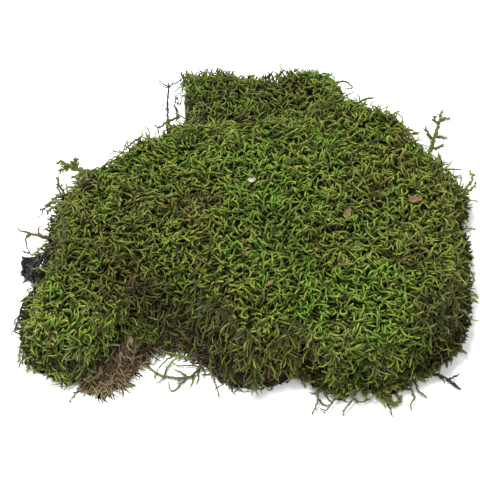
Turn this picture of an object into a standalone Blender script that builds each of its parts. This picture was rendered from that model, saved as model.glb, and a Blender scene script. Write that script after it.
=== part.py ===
"""A torn-off clump of feather moss, cut flat underneath: the living mat, the brown thatch it grew on,
the loose creeping shoots round its edge and the bits of litter caught in it. +Y is the back."""

import math
import random

import bmesh
import bpy
from mathutils import Vector
from mathutils.bvhtree import BVHTree

MM = 0.001
SEED = 7

CENTRE = (-25.0, 20.0)     # every cross-section fans out from here
MAT_HEIGHT = 32.0          # of the level part of the mat
BACK_LOBE_HEIGHT = 17.5    # of the low lobe behind the crease
EDGE_WIDTH = 13.0          # over which the mat rounds down to its front edge
BULGE = 0.45               # height of the widest part of the back edge, as a share of the mat's height
THATCH_HEIGHT = 9.0        # of the thatch where the moss drapes over it
THATCH_INSET = 9.0         # of the thatch behind a draped edge
TOP_GAP = 0.45             # between the thatch and the moss above it
SIDE_GAP = 0.9             # between the thatch and the moss skirt beside it
GROUND_GAP = 0.5           # under the moss skirt
CLEARANCE = 0.4            # between a piece of litter and the moss under it
RINGS = 13                 # of the mat's top, inside its rounded edge
BARK_LENGTH = 11.5         # of the flake of bark, along its hollow
BARK_RADIUS = 4.3          # of the hollow
BARK_LEAN = math.radians(38)   # of the hollow, outwards
BARK_SLOPE = 0.35          # of the flake, down towards the front

# The edge of the clump: x, y, and how far the tip stands out beyond the body of the mat. Where the moss
# stops short and leaves bare thatch: how wide the bare slope is, and how high the thatch is at its top.
OUTLINE = [
    (124, -3, 0), (124, 9, 0), (121, 20, 0), (128, 30, 1), (128, 40, 1), (117, 47, 0), (112, 56, 0),
    (103, 67, 0), (97, 79, 0), (88, 88, 0), (79, 95, 0), (68, 101, 0), (58, 105, 0), (61, 120, 3),
    (52, 132, 2), (40, 139, 2), (28, 136, 1), (16, 132, 0), (3, 133, 1), (-11, 138, 1), (-24, 138, 1),
    (-36, 135, 2), (-36.5, 120, 0), (-35.5, 104, 0), (-36, 92, 0), (-44, 80, 1), (-56, 74, 0),
    (-64, 71, 1), (-72, 62, 0),
    (-80, 51, 0), (-88, 46, 0), (-99, 42, 2), (-105, 33, 2), (-109, 21, 1), (-109, 9, 0), (-109, -2, 0),
    (-108.5, -12, 0), (-111, -24, 0), (-116, -36, 1), (-119, -49, 2), (-121, -61, 3), (-118, -71, 3),
    (-107, -77, 2), (-97, -83, 4), (-88, -85, 4), (-84, -84, 0, 0.1, 9), (-80, -86, 0, 11, 13),
    (-74, -86, 0, 28, 17), (-68, -85, 0, 35, 18), (-63, -79, 0, 30, 17), (-57, -68, 0, 17, 15),
    (-47, -60, 0, 9, 14), (-36, -58, 0, 8, 13), (-27, -61, 0, 8, 13), (-19, -69, 0, 10, 13),
    (-10, -79, 0, 9, 11), (-1, -84, 0, 4, 9), (7, -89, 5, 0.1, 9), (14, -83, 0, 3, 9),
    (22, -80, 0, 0.1, 9), (31, -78, 1), (42, -88, 5), (51, -96, 8), (56, -88, 1), (63, -88, 1),
    (74, -94, 6), (80, -89, 3), (86, -91, 6), (90, -80, 0), (96, -82, 4), (99, -76, 0),
    (106, -72, 1), (114, -65, 1), (118, -54, 0), (121, -41, 1), (126, -30, 4), (123, -18, 0),
]

# Swellings and hollows of the top: x, y, radius, height
BUMPS = [
    (28, 12, 70, 7), (-68, 6, 34, 3), (-90, -48, 24, -5), (78, 45, 34, 2), (70, -50, 28, 2),
    (-36, -50, 16, -4), (-60, -28, 14, -3), (8, 52, 26, 2), (100, -10, 22, -3), (-10, -40, 20, 2),
    (5, 92, 36, -9),
]


def smooth(t):
    t = min(1.0, max(0.0, t))
    return t * t * (3 - 2 * t)


def mat_top(x, y):
    """Height of the top of the mat, away from its rounded edge."""
    high = MAT_HEIGHT
    for bx, by, radius, height in BUMPS:
        high += height * math.exp(-((x - bx) ** 2 + (y - by) ** 2) / radius ** 2)
    high += 0.9 * math.sin(x / 8.3 + 1.1) * math.sin(y / 7.1) + 0.7 * math.sin(x / 5.2 - y / 6.4)
    crease = 82 + 0.22 * x
    behind = smooth((y - crease) / 9) * (1 - smooth((x - 38) / 24))
    valley = 4.5 * math.exp(-(((y - crease - 7) / 4.5) ** 2)) * (1 - smooth((x - 30) / 24))
    return high + (BACK_LOBE_HEIGHT - high) * behind - valley


def rays():
    """Each edge point as the direction and distance of its tip from CENTRE, and what is at its foot."""
    found = []
    for x, y, stands_out, *uncovered in OUTLINE:
        dx, dy = x - CENTRE[0], y - CENTRE[1]
        outer = math.hypot(dx, dy)
        bare, height = uncovered or (0.0, THATCH_HEIGHT)
        tip = outer - bare
        body = tip - stands_out
        side = tip - stands_out - (1.6 if uncovered else THATCH_INSET)
        back = smooth((dy / outer + 0.15) / 0.6)
        found.append({
            "dir": (dx / outer, dy / outer), "tip": tip, "body": body, "draped": not uncovered,
            "side": side, "foot": outer if bare > 1 else side + 0.3 * bool(uncovered), "height": height,
            "width": EDGE_WIDTH * (1 - 0.5 * back),
            "bulge": BULGE * back * mat_top(x - 8 * dx / outer, y - 8 * dy / outer),
        })
    return found


def thatch_top(ray, share):
    """Height of the thatch at a share of the way from CENTRE to its side."""
    inner = THATCH_HEIGHT + 2.5
    return inner + (ray["height"] - inner) * share ** 3


def at(ray, distance, z):
    return Vector((CENTRE[0] + ray["dir"][0] * distance, CENTRE[1] + ray["dir"][1] * distance, z))


def rounded(ray, distance, low):
    """Height of the mat's top at a distance from CENTRE, no lower than its underside allows."""
    p = at(ray, distance, 0)
    inside = max(0.0, ray["body"] - distance) / ray["width"]
    high = mat_top(p.x, p.y)
    share = min(1.0, inside) ** 0.55
    return max(low + 1.6, ray["bulge"] + 3.2, low + 2.0 + (high - low - 2.0) * share)


def fan_solid(name, rings, first, last, material):
    """One closed body from rings of points, closed by a fan round the first and the last point."""
    mesh = bmesh.new()
    rows = [[mesh.verts.new(p * MM) for p in ring] for ring in rings]
    count = len(rings[0])
    ends = ((mesh.verts.new(first * MM), rows[0], 1), (mesh.verts.new(last * MM), rows[-1], -1))
    for hub, row, turn in ends:
        for i in range(count):
            corners = [hub, row[i], row[(i + 1) % count]]
            mesh.faces.new(corners if turn > 0 else corners[::-1])
    for low, high in zip(rows, rows[1:]):
        for i in range(count):
            j = (i + 1) % count
            mesh.faces.new((low[i], high[i], high[j]))
            mesh.faces.new((low[i], high[j], low[j]))
    return finish(name, mesh, material)


def finish(name, mesh, material):
    """Turns a bmesh into a named object whose faces point outwards."""
    bmesh.ops.recalc_face_normals(mesh, faces=mesh.faces)
    data = bpy.data.meshes.new(name)
    mesh.to_mesh(data)
    mesh.free()
    made = bpy.data.objects.new(name, data)
    bpy.context.scene.collection.objects.link(made)
    data.materials.append(material)
    return made


def matte(name, colour, roughness=0.85):
    made = bpy.data.materials.new(name)
    made.use_nodes = True
    shader = made.node_tree.nodes["Principled BSDF"]
    shader.inputs["Base Color"].default_value = (*colour, 1)
    shader.inputs["Roughness"].default_value = roughness
    shader.inputs["Metallic"].default_value = 0.0
    return made


INNER_SHARES = (0.3, 0.6, 0.85)


def make_thatch(material):
    """A slab with one flat face underneath; its top follows the underside of the mat."""
    edge = rays()
    rings = [[at(r, r["side"] * 0.5, 0) for r in edge]]
    rings.append([at(r, r["foot"], 0) for r in edge])
    rings.append([at(r, r["side"] + 0.55 * (r["foot"] - r["side"]), 0.62 * r["height"]) for r in edge])
    rings.append([at(r, r["side"], r["height"]) for r in edge])
    for share in reversed(INNER_SHARES):
        rings.append([at(r, r["side"] * share, thatch_top(r, share)) for r in edge])
    centre = Vector((*CENTRE, 0))
    return fan_solid("thatch", rings, centre, centre + Vector((0, 0, THATCH_HEIGHT + 2.5)), material)


def make_mat(material):
    """The living mat: domed on top, hollow below to sit over the thatch, draped to the ground."""
    edge = rays()
    rings = []
    for share in (*INNER_SHARES, 1.0):
        rings.append([at(r, r["side"] * share, thatch_top(r, share) + TOP_GAP) for r in edge])
    under, skirt, lip, hems = [], [], [], []
    for r in edge:
        roof = r["height"] + TOP_GAP
        inner = r["side"] + SIDE_GAP
        hems.append(GROUND_GAP if r["draped"] else roof + 0.4)
        under.append(at(r, inner, roof))
        skirt.append(at(r, inner + (0.02 if r["draped"] else 0.25), hems[-1]))
        lip.append(at(r, r["tip"] - 0.3 - 0.35 * r["bulge"], hems[-1]))
    rings += [under, skirt, lip]
    rings.append([at(r, r["tip"], hem + 1.2 + r["bulge"]) for r, hem in zip(edge, hems)])
    for back in (1.5, 4.5, 9.0):
        row = []
        for r, hem in zip(edge, hems):
            distance = min(r["body"], r["tip"] - 1.0) - back
            low = r["height"] + TOP_GAP if distance < r["side"] + SIDE_GAP + 0.5 else hem
            row.append(at(r, distance, rounded(r, distance, low)))
        rings.append(row)
    for step in range(RINGS, 0, -1):
        share = step / (RINGS + 0.5)
        row = []
        for r in edge:
            distance = (min(r["body"], r["tip"] - 1.0) - 9.0) * share
            row.append(at(r, distance, rounded(r, distance, r["height"] + TOP_GAP)))
        rings.append(row)
    first = Vector((*CENTRE, THATCH_HEIGHT + 2.5 + TOP_GAP))
    return fan_solid("moss_mat", rings, first, Vector((*CENTRE, mat_top(*CENTRE))), material)


def sheet(name, grid, thickness, material):
    """A closed thin body either side of a grid of points."""
    rows, columns = len(grid), len(grid[0])
    normals = []
    for i in range(rows):
        normals.append([])
        for j in range(columns):
            along = grid[min(i + 1, rows - 1)][j] - grid[max(i - 1, 0)][j]
            across = grid[i][min(j + 1, columns - 1)] - grid[i][max(j - 1, 0)]
            normals[i].append(along.cross(across).normalized())
    mesh = bmesh.new()
    sides = []
    for way in (0.5, -0.5):
        sides.append([[mesh.verts.new((grid[i][j] + normals[i][j] * way * thickness) * MM)
                       for j in range(columns)] for i in range(rows)])
    for side, turn in zip(sides, (1, -1)):
        for i in range(rows - 1):
            for j in range(columns - 1):
                a, b, c, d = side[i][j], side[i + 1][j], side[i + 1][j + 1], side[i][j + 1]
                for face in ((a, b, c), (a, c, d)):
                    mesh.faces.new(face[::turn])
    border = [(i, 0) for i in range(rows)] + [(rows - 1, j) for j in range(1, columns)]
    border += [(i, columns - 1) for i in range(rows - 2, -1, -1)]
    border += [(0, j) for j in range(columns - 2, 0, -1)]
    for (i, j), (k, m) in zip(border, border[1:] + border[:1]):
        a, b, c, d = sides[0][i][j], sides[0][k][m], sides[1][k][m], sides[1][i][j]
        mesh.faces.new((a, c, b))
        mesh.faces.new((a, d, c))
    return finish(name, mesh, material)


def tube(mesh, path, radii, sides=6):
    """Adds a tapered round stem along a path to a bmesh."""
    points = [Vector(p) for p in path]
    rows = []
    for k, p in enumerate(points):
        along = (points[min(k + 1, len(points) - 1)] - points[max(k - 1, 0)]).normalized()
        side = along.cross(Vector((0, 0, 1)))
        side = side.normalized() if side.length > 0.1 else Vector((1, 0, 0))
        up = side.cross(along)
        radius = radii[0] + (radii[1] - radii[0]) * k / (len(points) - 1)
        rows.append([])
        for s in range(sides):
            angle = 2 * math.pi * (s + 0.5) / sides
            spoke = side * math.cos(angle) + up * math.sin(angle)
            rows[-1].append(mesh.verts.new((p + spoke * radius) * MM))
    for low, high in zip(rows, rows[1:]):
        for s in range(sides):
            t = (s + 1) % sides
            mesh.faces.new((low[s], low[t], high[t]))
            mesh.faces.new((low[s], high[t], high[s]))
    mesh.faces.new(rows[0][::-1])
    mesh.faces.new(rows[-1])


def stem_object(name, path, radii, material, sides=6):
    mesh = bmesh.new()
    tube(mesh, path, radii, sides)
    return finish(name, mesh, material)


def branched(name, stems, material, sides=6):
    """One closed body from a main stem and the side stems that start inside it."""
    whole = stem_object(name, *stems[0], material, sides)
    for path, radii in stems[1:]:
        side = stem_object(name + "_side", path, radii, material, sides)
        join = whole.modifiers.new("join", "BOOLEAN")
        join.operation, join.solver, join.object = "UNION", "EXACT", side
        shaped = whole.evaluated_get(bpy.context.evaluated_depsgraph_get())
        data = bpy.data.meshes.new_from_object(shaped)
        whole.modifiers.remove(join)
        old, whole.data = whole.data, data
        bpy.data.meshes.remove(old)
        bpy.data.objects.remove(side)
    whole.data.name = name
    return whole


def leaf_grid(centre, length, width, turn, curl, rng):
    """A small curled oval leaf, lying level, as a grid for sheet()."""
    grid = []
    rows, columns = 7, 5
    for i in range(rows):
        t = i / (rows - 1) * 2 - 1
        half = width / 2 * max(0.16, math.sqrt(max(0.0, 1 - t * t))) * (0.9 + 0.2 * rng.random())
        row = []
        for j in range(columns):
            s = j / (columns - 1) * 2 - 1
            x, y = t * length / 2, s * half
            z = curl * (t * t * length * 0.16 + s * s * half * 0.45)
            row.append(Vector((centre[0] + x * math.cos(turn) - y * math.sin(turn),
                               centre[1] + x * math.sin(turn) + y * math.cos(turn), centre[2] + z)))
        grid.append(row)
    return grid


def lift_off(made, tree):
    """Raises a piece of litter until it lies just clear of the moss under it."""
    rise = None
    for vertex in made.data.vertices:
        hit = tree.ray_cast(Vector((vertex.co.x, vertex.co.y, 0.2)), Vector((0, 0, -1)))[0]
        if hit is not None:
            need = hit.z + CLEARANCE * MM - vertex.co.z
            rise = need if rise is None else max(rise, need)
    for vertex in made.data.vertices:
        vertex.co.z += rise or 0.0


def drape(plan, trees):
    """Points on top of whatever lies under each x, y of a plan, a clearance above it."""
    grid = []
    for line in plan:
        grid.append([])
        for x, y in line:
            hits = [tree.ray_cast(Vector((x + dx, y + dy, 200)) * MM, Vector((0, 0, -1)))[0]
                    for tree in trees for dx, dy in ((0, 0), (1.5, 0), (-1.5, 0), (0, 1.5), (0, -1.5))]
            top = max((hit.z / MM for hit in hits if hit is not None), default=0.0)
            grid[-1].append(Vector((x, y, top + 3 * CLEARANCE)))
    return grid


def make_pod(centre, radii, material):
    """A small oval capsule with a pinched end."""
    mesh = bmesh.new()
    bmesh.ops.create_uvsphere(mesh, u_segments=10, v_segments=8, radius=1.0)
    for vertex in mesh.verts:
        x, y, z = vertex.co
        pinch = 1 - 0.45 * max(0.0, x) ** 2
        vertex.co = Vector((centre[0] + x * radii[0], centre[1] + y * radii[1] * pinch,
                            centre[2] + z * radii[2] * pinch)) * MM
    bmesh.ops.triangulate(mesh, faces=mesh.faces)
    return finish("seed_pod", mesh, material)


def bark_grid(centre, rng):
    """A short curved flake of bark, hollow side up and outwards, with ragged ends."""
    grid = []
    rows, columns = 7, 7
    for i in range(rows):
        t = i / (rows - 1)
        row = []
        for j in range(columns):
            s = j / (columns - 1)
            bend = math.radians(-78 + 156 * s)
            length = (t - 0.5) * (BARK_LENGTH + 3.0 * math.sin(5.1 * s + 0.7) + rng.uniform(-0.8, 0.8))
            swell = BARK_RADIUS + 0.6 * math.sin(3 * t + 2 * s)
            across, deep = swell * math.sin(bend), -swell * math.cos(bend)
            p = Vector((across, length, deep))
            p = Vector((p.x * math.cos(BARK_LEAN) + p.z * math.sin(BARK_LEAN), p.y,
                        p.z * math.cos(BARK_LEAN) - p.x * math.sin(BARK_LEAN) + BARK_SLOPE * p.y))
            row.append(Vector(centre) + p)
        grid.append(row)
    return grid


# Each creeping shoot: its main stem first, then its side shoots, as (points), (radius at foot, at tip)
SPRAY_LOWER = [
    ([(-22.5, -71, 2.4), (-25, -75, 1.6), (-29, -78.5, 1.3), (-37, -78.6, 1.2), (-44, -77, 1.2),
      (-49, -73.4, 1.3), (-52, -71, 1.5)], (0.75, 0.45)),
    ([(-23.5, -72.6, 2.0), (-28.5, -71.2, 1.6), (-34, -71.4, 1.4)], (0.5, 0.3)),
    ([(-26, -76, 1.5), (-26.6, -79.5, 1.3), (-28.5, -84.5, 1.0)], (0.5, 0.3)),
    ([(-29, -78.5, 1.3), (-33, -75.6, 1.3), (-37, -75.0, 1.3)], (0.5, 0.3)),
    ([(-30, -78.5, 1.3), (-32.6, -81, 1.1), (-33.4, -84.6, 1.0)], (0.5, 0.3)),
    ([(-36, -78.6, 1.2), (-38.2, -81.5, 1.1), (-38.8, -84.8, 1.0)], (0.45, 0.3)),
    ([(-41, -78.0, 1.2), (-44, -80.8, 1.1), (-45.4, -83.2, 1.0)], (0.45, 0.3)),
]
SPRAY_UPPER = [
    ([(-24.5, -67.5, 2.0), (-28, -66.8, 1.8), (-32, -66, 1.7), (-38, -64, 1.9), (-44, -62.6, 2.2)],
     (0.7, 0.45)),
    ([(-36, -64.7, 1.8), (-41, -68.5, 2.3), (-44.6, -73.5, 2.8), (-47, -79, 2.6)], (0.55, 0.35)),
    ([(-40, -63.5, 2.0), (-45, -66, 1.6), (-47.6, -70, 1.3)], (0.45, 0.3)),
    ([(-29, -66.6, 1.8), (-31.5, -63.6, 1.9), (-34, -61.4, 2.0)], (0.45, 0.3)),
]
SPRIG_RIGHT = [
    ([(109, 71, 14.5), (110.5, 77, 14.3), (113.5, 85, 14.5), (115.5, 92, 15.0), (117, 97, 16.0)], (0.9, 0.5)),
    ([(110, 76, 14.3), (107.5, 80, 15.2), (106.5, 84, 16.0)], (0.6, 0.35)),
    ([(111, 79, 14.3), (115, 79, 14.0), (118.5, 78, 14.0)], (0.6, 0.35)),
    ([(115, 91, 15.0), (118, 93, 15.0), (121.5, 93, 15.2)], (0.5, 0.35)),
]
SPRIG_LEFT = [
    ([(-86, 50.4, 14.0), (-91, 50.2, 15.0), (-97, 53, 15.6), (-102, 56, 16.0), (-105.5, 58.5, 16.5)],
     (1.1, 0.7)),
    ([(-96, 52.5, 15.5), (-97, 57, 16.3), (-96, 60, 16.6)], (0.7, 0.45)),
]
DEAD_SPRIG = [
    ([(-113.5, 11, 10.0), (-117, 11.5, 10.5), (-121, 10.5, 10.5), (-124.5, 12.5, 11.0), (-128, 16, 12.0)],
     (0.75, 0.35)),
    ([(-118.5, 11, 10.5), (-120.5, 6, 9.5), (-119.5, 0.5, 7.5), (-119.8, 0.0, 7.2)], (0.5, 0.3)),
    ([(-121, 10.6, 10.5), (-123.6, 7, 10.0), (-125, 6, 9.6)], (0.45, 0.3)),
]
TWIG_BACK = [
    ([(-45.5, 89.5, 15.0), (-45.5, 96, 16.0), (-45, 104, 18.0), (-44.5, 112, 20.0), (-45, 115.5, 21.0)],
     (0.8, 0.55)),
    ([(-44.8, 113.5, 20.5), (-48, 115.5, 20.0), (-51, 119, 20.5)], (0.6, 0.35)),
    ([(-44.6, 112, 20.0), (-42.8, 115, 20.3), (-41.6, 119, 21.0)], (0.55, 0.35)),
]
TWIG_FRONT = [
    ([(101.5, -78, 2.6), (105, -79.5, 2.2), (108.5, -82, 1.8), (112, -85.5, 1.3)], (1.0, 0.5)),
    ([(106.5, -80.6, 2.1), (109.5, -78.8, 2.3), (112, -77.4, 2.6)], (0.65, 0.4)),
]


def main():
    for old in list(bpy.data.objects):
        bpy.data.objects.remove(old)
    rng = random.Random(SEED)
    green = matte("moss_green", (0.085, 0.125, 0.022), 0.8)
    brown = matte("thatch_brown", (0.10, 0.065, 0.035), 0.95)
    dark = matte("bark_dark", (0.035, 0.027, 0.024), 0.9)
    straw = matte("straw", (0.36, 0.26, 0.12), 0.7)
    tan = matte("dead_leaf", (0.30, 0.19, 0.11), 0.75)
    pale = matte("pale_fleck", (0.62, 0.58, 0.52), 0.8)
    black = matte("pod_black", (0.02, 0.018, 0.02), 0.3)

    made = [make_thatch(brown), make_mat(green)]
    trees = [BVHTree.FromPolygons([v.co.copy() for v in m.data.vertices],
                                  [tuple(p.vertices) for p in m.data.polygons]) for m in made]
    tree = trees[1]

    for name, stems in (("spray_lower", SPRAY_LOWER), ("spray_upper", SPRAY_UPPER),
                        ("sprig_right", SPRIG_RIGHT), ("sprig_left", SPRIG_LEFT)):
        made.append(branched(name, stems, green))
    for name, stems in (("dead_sprig", DEAD_SPRIG), ("twig_back", TWIG_BACK), ("twig_front", TWIG_FRONT)):
        made.append(branched(name, stems, dark))
    made.append(sheet("bark_chip", bark_grid((-118.0, -8.6, 9.6), rng), 1.4, dark))
    made.append(stem_object("bark_stick", [(-100, -11.0, 32.0), (-105, -13.4, 27.0), (-110.5, -16, 18.4),
                                           (-116, -17.9, 9.6), (-121, -19.4, 3.6)], (1.3, 0.9), dark))
    made.append(stem_object("root", [(-117.2, -28, 4.0), (-119.6, -33.5, 3.4), (-121.4, -41, 2.2),
                                     (-122.4, -47, 1.6), (-124.8, -51, 1.2)], (0.55, 0.35), dark))
    blade = drape([[(-60.5 + 4.0 * t + w, -61.5 - 8.0 * t + 0.4 * w) for w in (-1.0, 0.0, 1.0)]
                   for t in (0.0, 0.2, 0.4, 0.6, 0.8, 1.0)], trees)
    made.append(sheet("straw_blade", blade, 0.5, straw))

    litter = [("leaf_scrap_1", (93, 14.5), 8.0, 4.2, 0.25), ("leaf_scrap_2", (55.5, 2.5), 6.5, 5.0, 1.4),
              ("leaf_scrap_3", (52, -31.5), 7.5, 2.6, 0.1), ("leaf_scrap_4", (0.5, -24), 4.6, 3.6, 2.2),
              ("leaf_scrap_5", (13, -43), 4.4, 3.2, 0.7)]
    for name, (x, y), length, width, turn in litter:
        leaf = sheet(name, leaf_grid((x, y, 45), length, width, turn, 0.8, rng), 0.5, tan)
        lift_off(leaf, tree)
        made.append(leaf)
    fleck = sheet("pale_fleck", leaf_grid((4, 25.5, 45), 4.2, 3.2, 0.6, 0.5, rng), 0.5, pale)
    pod = make_pod((-86, 28, 45), (1.9, 1.2, 1.2), black)
    for bit in (fleck, pod):
        lift_off(bit, tree)
        made.append(bit)

    lows = [min(v.co[k] for m in made for v in m.data.vertices) for k in range(3)]
    highs = [max(v.co[k] for m in made for v in m.data.vertices) for k in range(3)]
    middle = Vector(((lows[0] + highs[0]) / 2, (lows[1] + highs[1]) / 2, lows[2]))
    for m in made:
        for v in m.data.vertices:
            v.co -= middle


main()
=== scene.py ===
import math

import bpy
import numpy as np
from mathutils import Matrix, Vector
from mathutils.bvhtree import BVHTree


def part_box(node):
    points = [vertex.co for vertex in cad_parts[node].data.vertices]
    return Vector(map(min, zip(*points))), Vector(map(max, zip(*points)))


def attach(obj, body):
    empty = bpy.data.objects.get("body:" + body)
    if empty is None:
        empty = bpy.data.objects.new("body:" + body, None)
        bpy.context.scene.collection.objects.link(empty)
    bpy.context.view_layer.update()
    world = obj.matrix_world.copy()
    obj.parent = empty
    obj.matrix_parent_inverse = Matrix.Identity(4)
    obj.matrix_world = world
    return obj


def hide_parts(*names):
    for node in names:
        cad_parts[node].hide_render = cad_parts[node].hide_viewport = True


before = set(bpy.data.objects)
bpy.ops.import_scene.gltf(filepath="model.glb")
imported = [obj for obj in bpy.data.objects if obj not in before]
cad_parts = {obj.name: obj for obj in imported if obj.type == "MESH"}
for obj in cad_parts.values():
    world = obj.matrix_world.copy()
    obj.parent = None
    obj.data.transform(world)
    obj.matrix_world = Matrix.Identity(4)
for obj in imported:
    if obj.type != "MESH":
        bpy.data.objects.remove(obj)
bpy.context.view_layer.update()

MM = 0.001
SEED = 20

# Places are in mm, in the plan that part.py is drawn in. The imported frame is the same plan, moved so that
# its origin is the centre of the underside. The seed pod's place gives the move.
POD_PLACE = (-86.0, 28.0)
POD_LOW, POD_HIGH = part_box("seed_pod")
HOME = np.array([(POD_LOW[k] + POD_HIGH[k]) / 2 / MM - POD_PLACE[k] for k in (0, 1)] + [0.0])

SHOOTS = 12400            # leafy shoots that make the mat's surface
SPACING = 1.46            # least distance between two shoots where they leave the mat's surface
SHOOT_STEPS = 6           # lengths of stem along one shoot
SHOOT_SIDES = 4           # faces round its stem
SHOOT_LEAVES = 11         # small leaves along it
SHOOT_RADIUS = 0.70       # of a shoot's stem with its pressed leaves
SHOOT_LEAF = (0.95, 0.6)  # length and width of one
UNDER_SHOOTS = 2200       # bare brown stems between and under the leafy ones
RIM_SHOOTS = 380          # thin shoots that stand out from the clump's edge
FIBRES = 1450             # dead stems on the bare thatch
FRINGE = 220              # dead stems that stick out of the foot of the thatch
LIP_SHOOTS = 420          # shoots that hang over the bare thatch
FOOT_SHOOTS = 240         # green shoots at the foot of the bay
INNER_DEPTH = 5.2         # of the dark inner surface below the mat's top, about; that surface is a near-black sheet of painted shade
GRID = 2.6                # spacing of the inner surface
BLEACHED = 0.02           # hue of the grey, bleached shoots
FLOOR_GAP = 0.25          # least height of any point of a stem or leaf
DEAD = 0.06               # hue of the deadest brown shoots
FRESHEST = 0.985          # highest hue, so that its strip stays on the palette
STRIP = 0.008             # height of one stem's strip of the palette
LEAF_TURN = 2.399         # angle from one leaf to the next round its stem, in radians
LONG_SHARE = 0.14         # share of the mat's shoots that are long and thin
SHORT_FROM = 0.7          # the share above this one is short
ABOVE_ALL = 200.0         # height from which rays look down
UP = np.array([0, 0, 1.0])

rng = np.random.default_rng(SEED)


# ---- numbers

def unit(v):
    """Vectors of length 1."""
    return v / np.maximum(np.linalg.norm(v, axis=-1, keepdims=True), 1e-9)


def lattice(ix, iy, seed):
    """A repeatable random number from 0 to 1 for each whole-number point. The constants are arbitrary."""
    h = np.sin(ix * 127.1 + iy * 311.7 + seed * 74.7) * 43758.5453
    return h - np.floor(h)


def noise(x, y, size, seed=0):
    """Smooth random field from 0 to 1 with features of the given size."""
    x, y = np.asarray(x) / size, np.asarray(y) / size
    ix, iy = np.floor(x), np.floor(y)
    fx, fy = x - ix, y - iy
    fx, fy = fx * fx * (3 - 2 * fx), fy * fy * (3 - 2 * fy)
    a, b = lattice(ix, iy, seed), lattice(ix + 1, iy, seed)
    c, d = lattice(ix, iy + 1, seed), lattice(ix + 1, iy + 1, seed)
    return (a * (1 - fx) + b * fx) * (1 - fy) + (c * (1 - fx) + d * fx) * fy


def ramp(t, low, high):
    """0 up to low, 1 from high on, and smooth between."""
    t = np.clip((t - low) / (high - low), 0, 1)
    return t * t * (3 - 2 * t)


def curve_through(points, rows):
    """A smooth curve (Catmull-Rom) through given points, as evenly spaced rows."""
    p = np.array(points, float)
    ends = np.concatenate([[2 * p[0] - p[1]], p, [2 * p[-1] - p[-2]]])
    t = np.linspace(0, len(p) - 1, rows * 4)
    i = np.minimum(t.astype(int), len(p) - 2)
    f = (t - i)[:, None]
    a, b, c, d = ends[i], ends[i + 1], ends[i + 2], ends[i + 3]
    fine = b + 0.5 * f * (c - a + f * (2 * a - 5 * b + 4 * c - d + f * (3 * (b - c) + d - a)))
    run = np.concatenate([[0], np.cumsum(np.linalg.norm(np.diff(fine, axis=0), axis=1))])
    even = np.linspace(0, run[-1], rows)
    return np.stack([np.interp(even, run, fine[:, k]) for k in range(3)], axis=1)


def walk(point, length, steps, wander, way):
    """Paths from the given points along way(t), where t runs from 0 to 1, with some wandering."""
    paths = [point]
    for k in range(steps):
        ahead = way((k + 0.5) / steps) + rng.normal(0, wander, point.shape)
        point = point + unit(ahead) * (length / steps)[:, None]
        paths.append(point)
    return np.stack(paths, axis=1)


# ---- CAD surfaces

def cad_mesh(node):
    """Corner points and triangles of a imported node, corners merged."""
    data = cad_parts[node].data
    data.calc_loop_triangles()
    points = np.array([v.co for v in data.vertices]) / MM - HOME
    tris = np.array([t.vertices for t in data.loop_triangles])
    merged, where = np.unique(np.round(points, 3), axis=0, return_inverse=True)
    return merged, where.reshape(-1)[tris]


def tree_of(points, tris):
    return BVHTree.FromPolygons([Vector(p) for p in points], [tuple(int(i) for i in t) for t in tris])


def top_of(tree, x, y):
    """Height of a surface over each x, y, or nan where there is none."""
    found = np.full(len(x), np.nan)
    for i, (a, b) in enumerate(zip(x, y)):
        hit = tree.ray_cast(Vector((a, b, ABOVE_ALL)), Vector((0, 0, -1)))[0]
        if hit is not None:
            found[i] = hit.z
    return found


def surface_points(points, tris, count, keep):
    """Random points spread evenly over the kept triangles, with smooth normals."""
    a, b, c = points[tris[:, 0]], points[tris[:, 1]], points[tris[:, 2]]
    cross = np.cross(b - a, c - a)
    smooth = np.zeros_like(points)
    for k in range(3):
        np.add.at(smooth, tris[:, k], cross)
    smooth = unit(smooth)
    area = np.linalg.norm(cross, axis=1) * keep(unit(cross), (a + b + c) / 3)
    pick = rng.choice(len(tris), count, p=area / area.sum())
    r1, r2 = np.sqrt(rng.random(count)), rng.random(count)
    w = np.stack([1 - r1, r1 * (1 - r2), r1 * r2], axis=1)
    corner = tris[pick]
    place = (points[corner] * w[:, :, None]).sum(1)
    normal = unit((smooth[corner] * w[:, :, None]).sum(1) + unit(cross)[pick] * 0.6)
    return place, normal


def evenly_spread(place, normal, count):
    """Of many random points, up to count that keep about the same distance from one another."""
    cell = SPACING / math.sqrt(3)
    taken, kept = {}, []
    keys = np.floor(place / cell).astype(int)
    around = [(i, j, k) for i in range(-2, 3) for j in range(-2, 3) for k in range(-2, 3)]
    for number, (point, (a, b, c)) in enumerate(zip(place.tolist(), keys.tolist())):
        if (a, b, c) in taken:
            continue
        for i, j, k in around:
            other = taken.get((a + i, b + j, c + k))
            if other is not None and math.dist(other, point) < SPACING:
                break
        else:
            taken[(a, b, c)] = point
            kept.append(number)
            if len(kept) == count:
                break
    return place[kept], normal[kept]


mat_points, mat_tris = cad_mesh("moss_mat")
thatch_points, thatch_tris = cad_mesh("thatch")
mat_tree = tree_of(mat_points, mat_tris)
thatch_tree = tree_of(thatch_points, thatch_tris)
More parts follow.
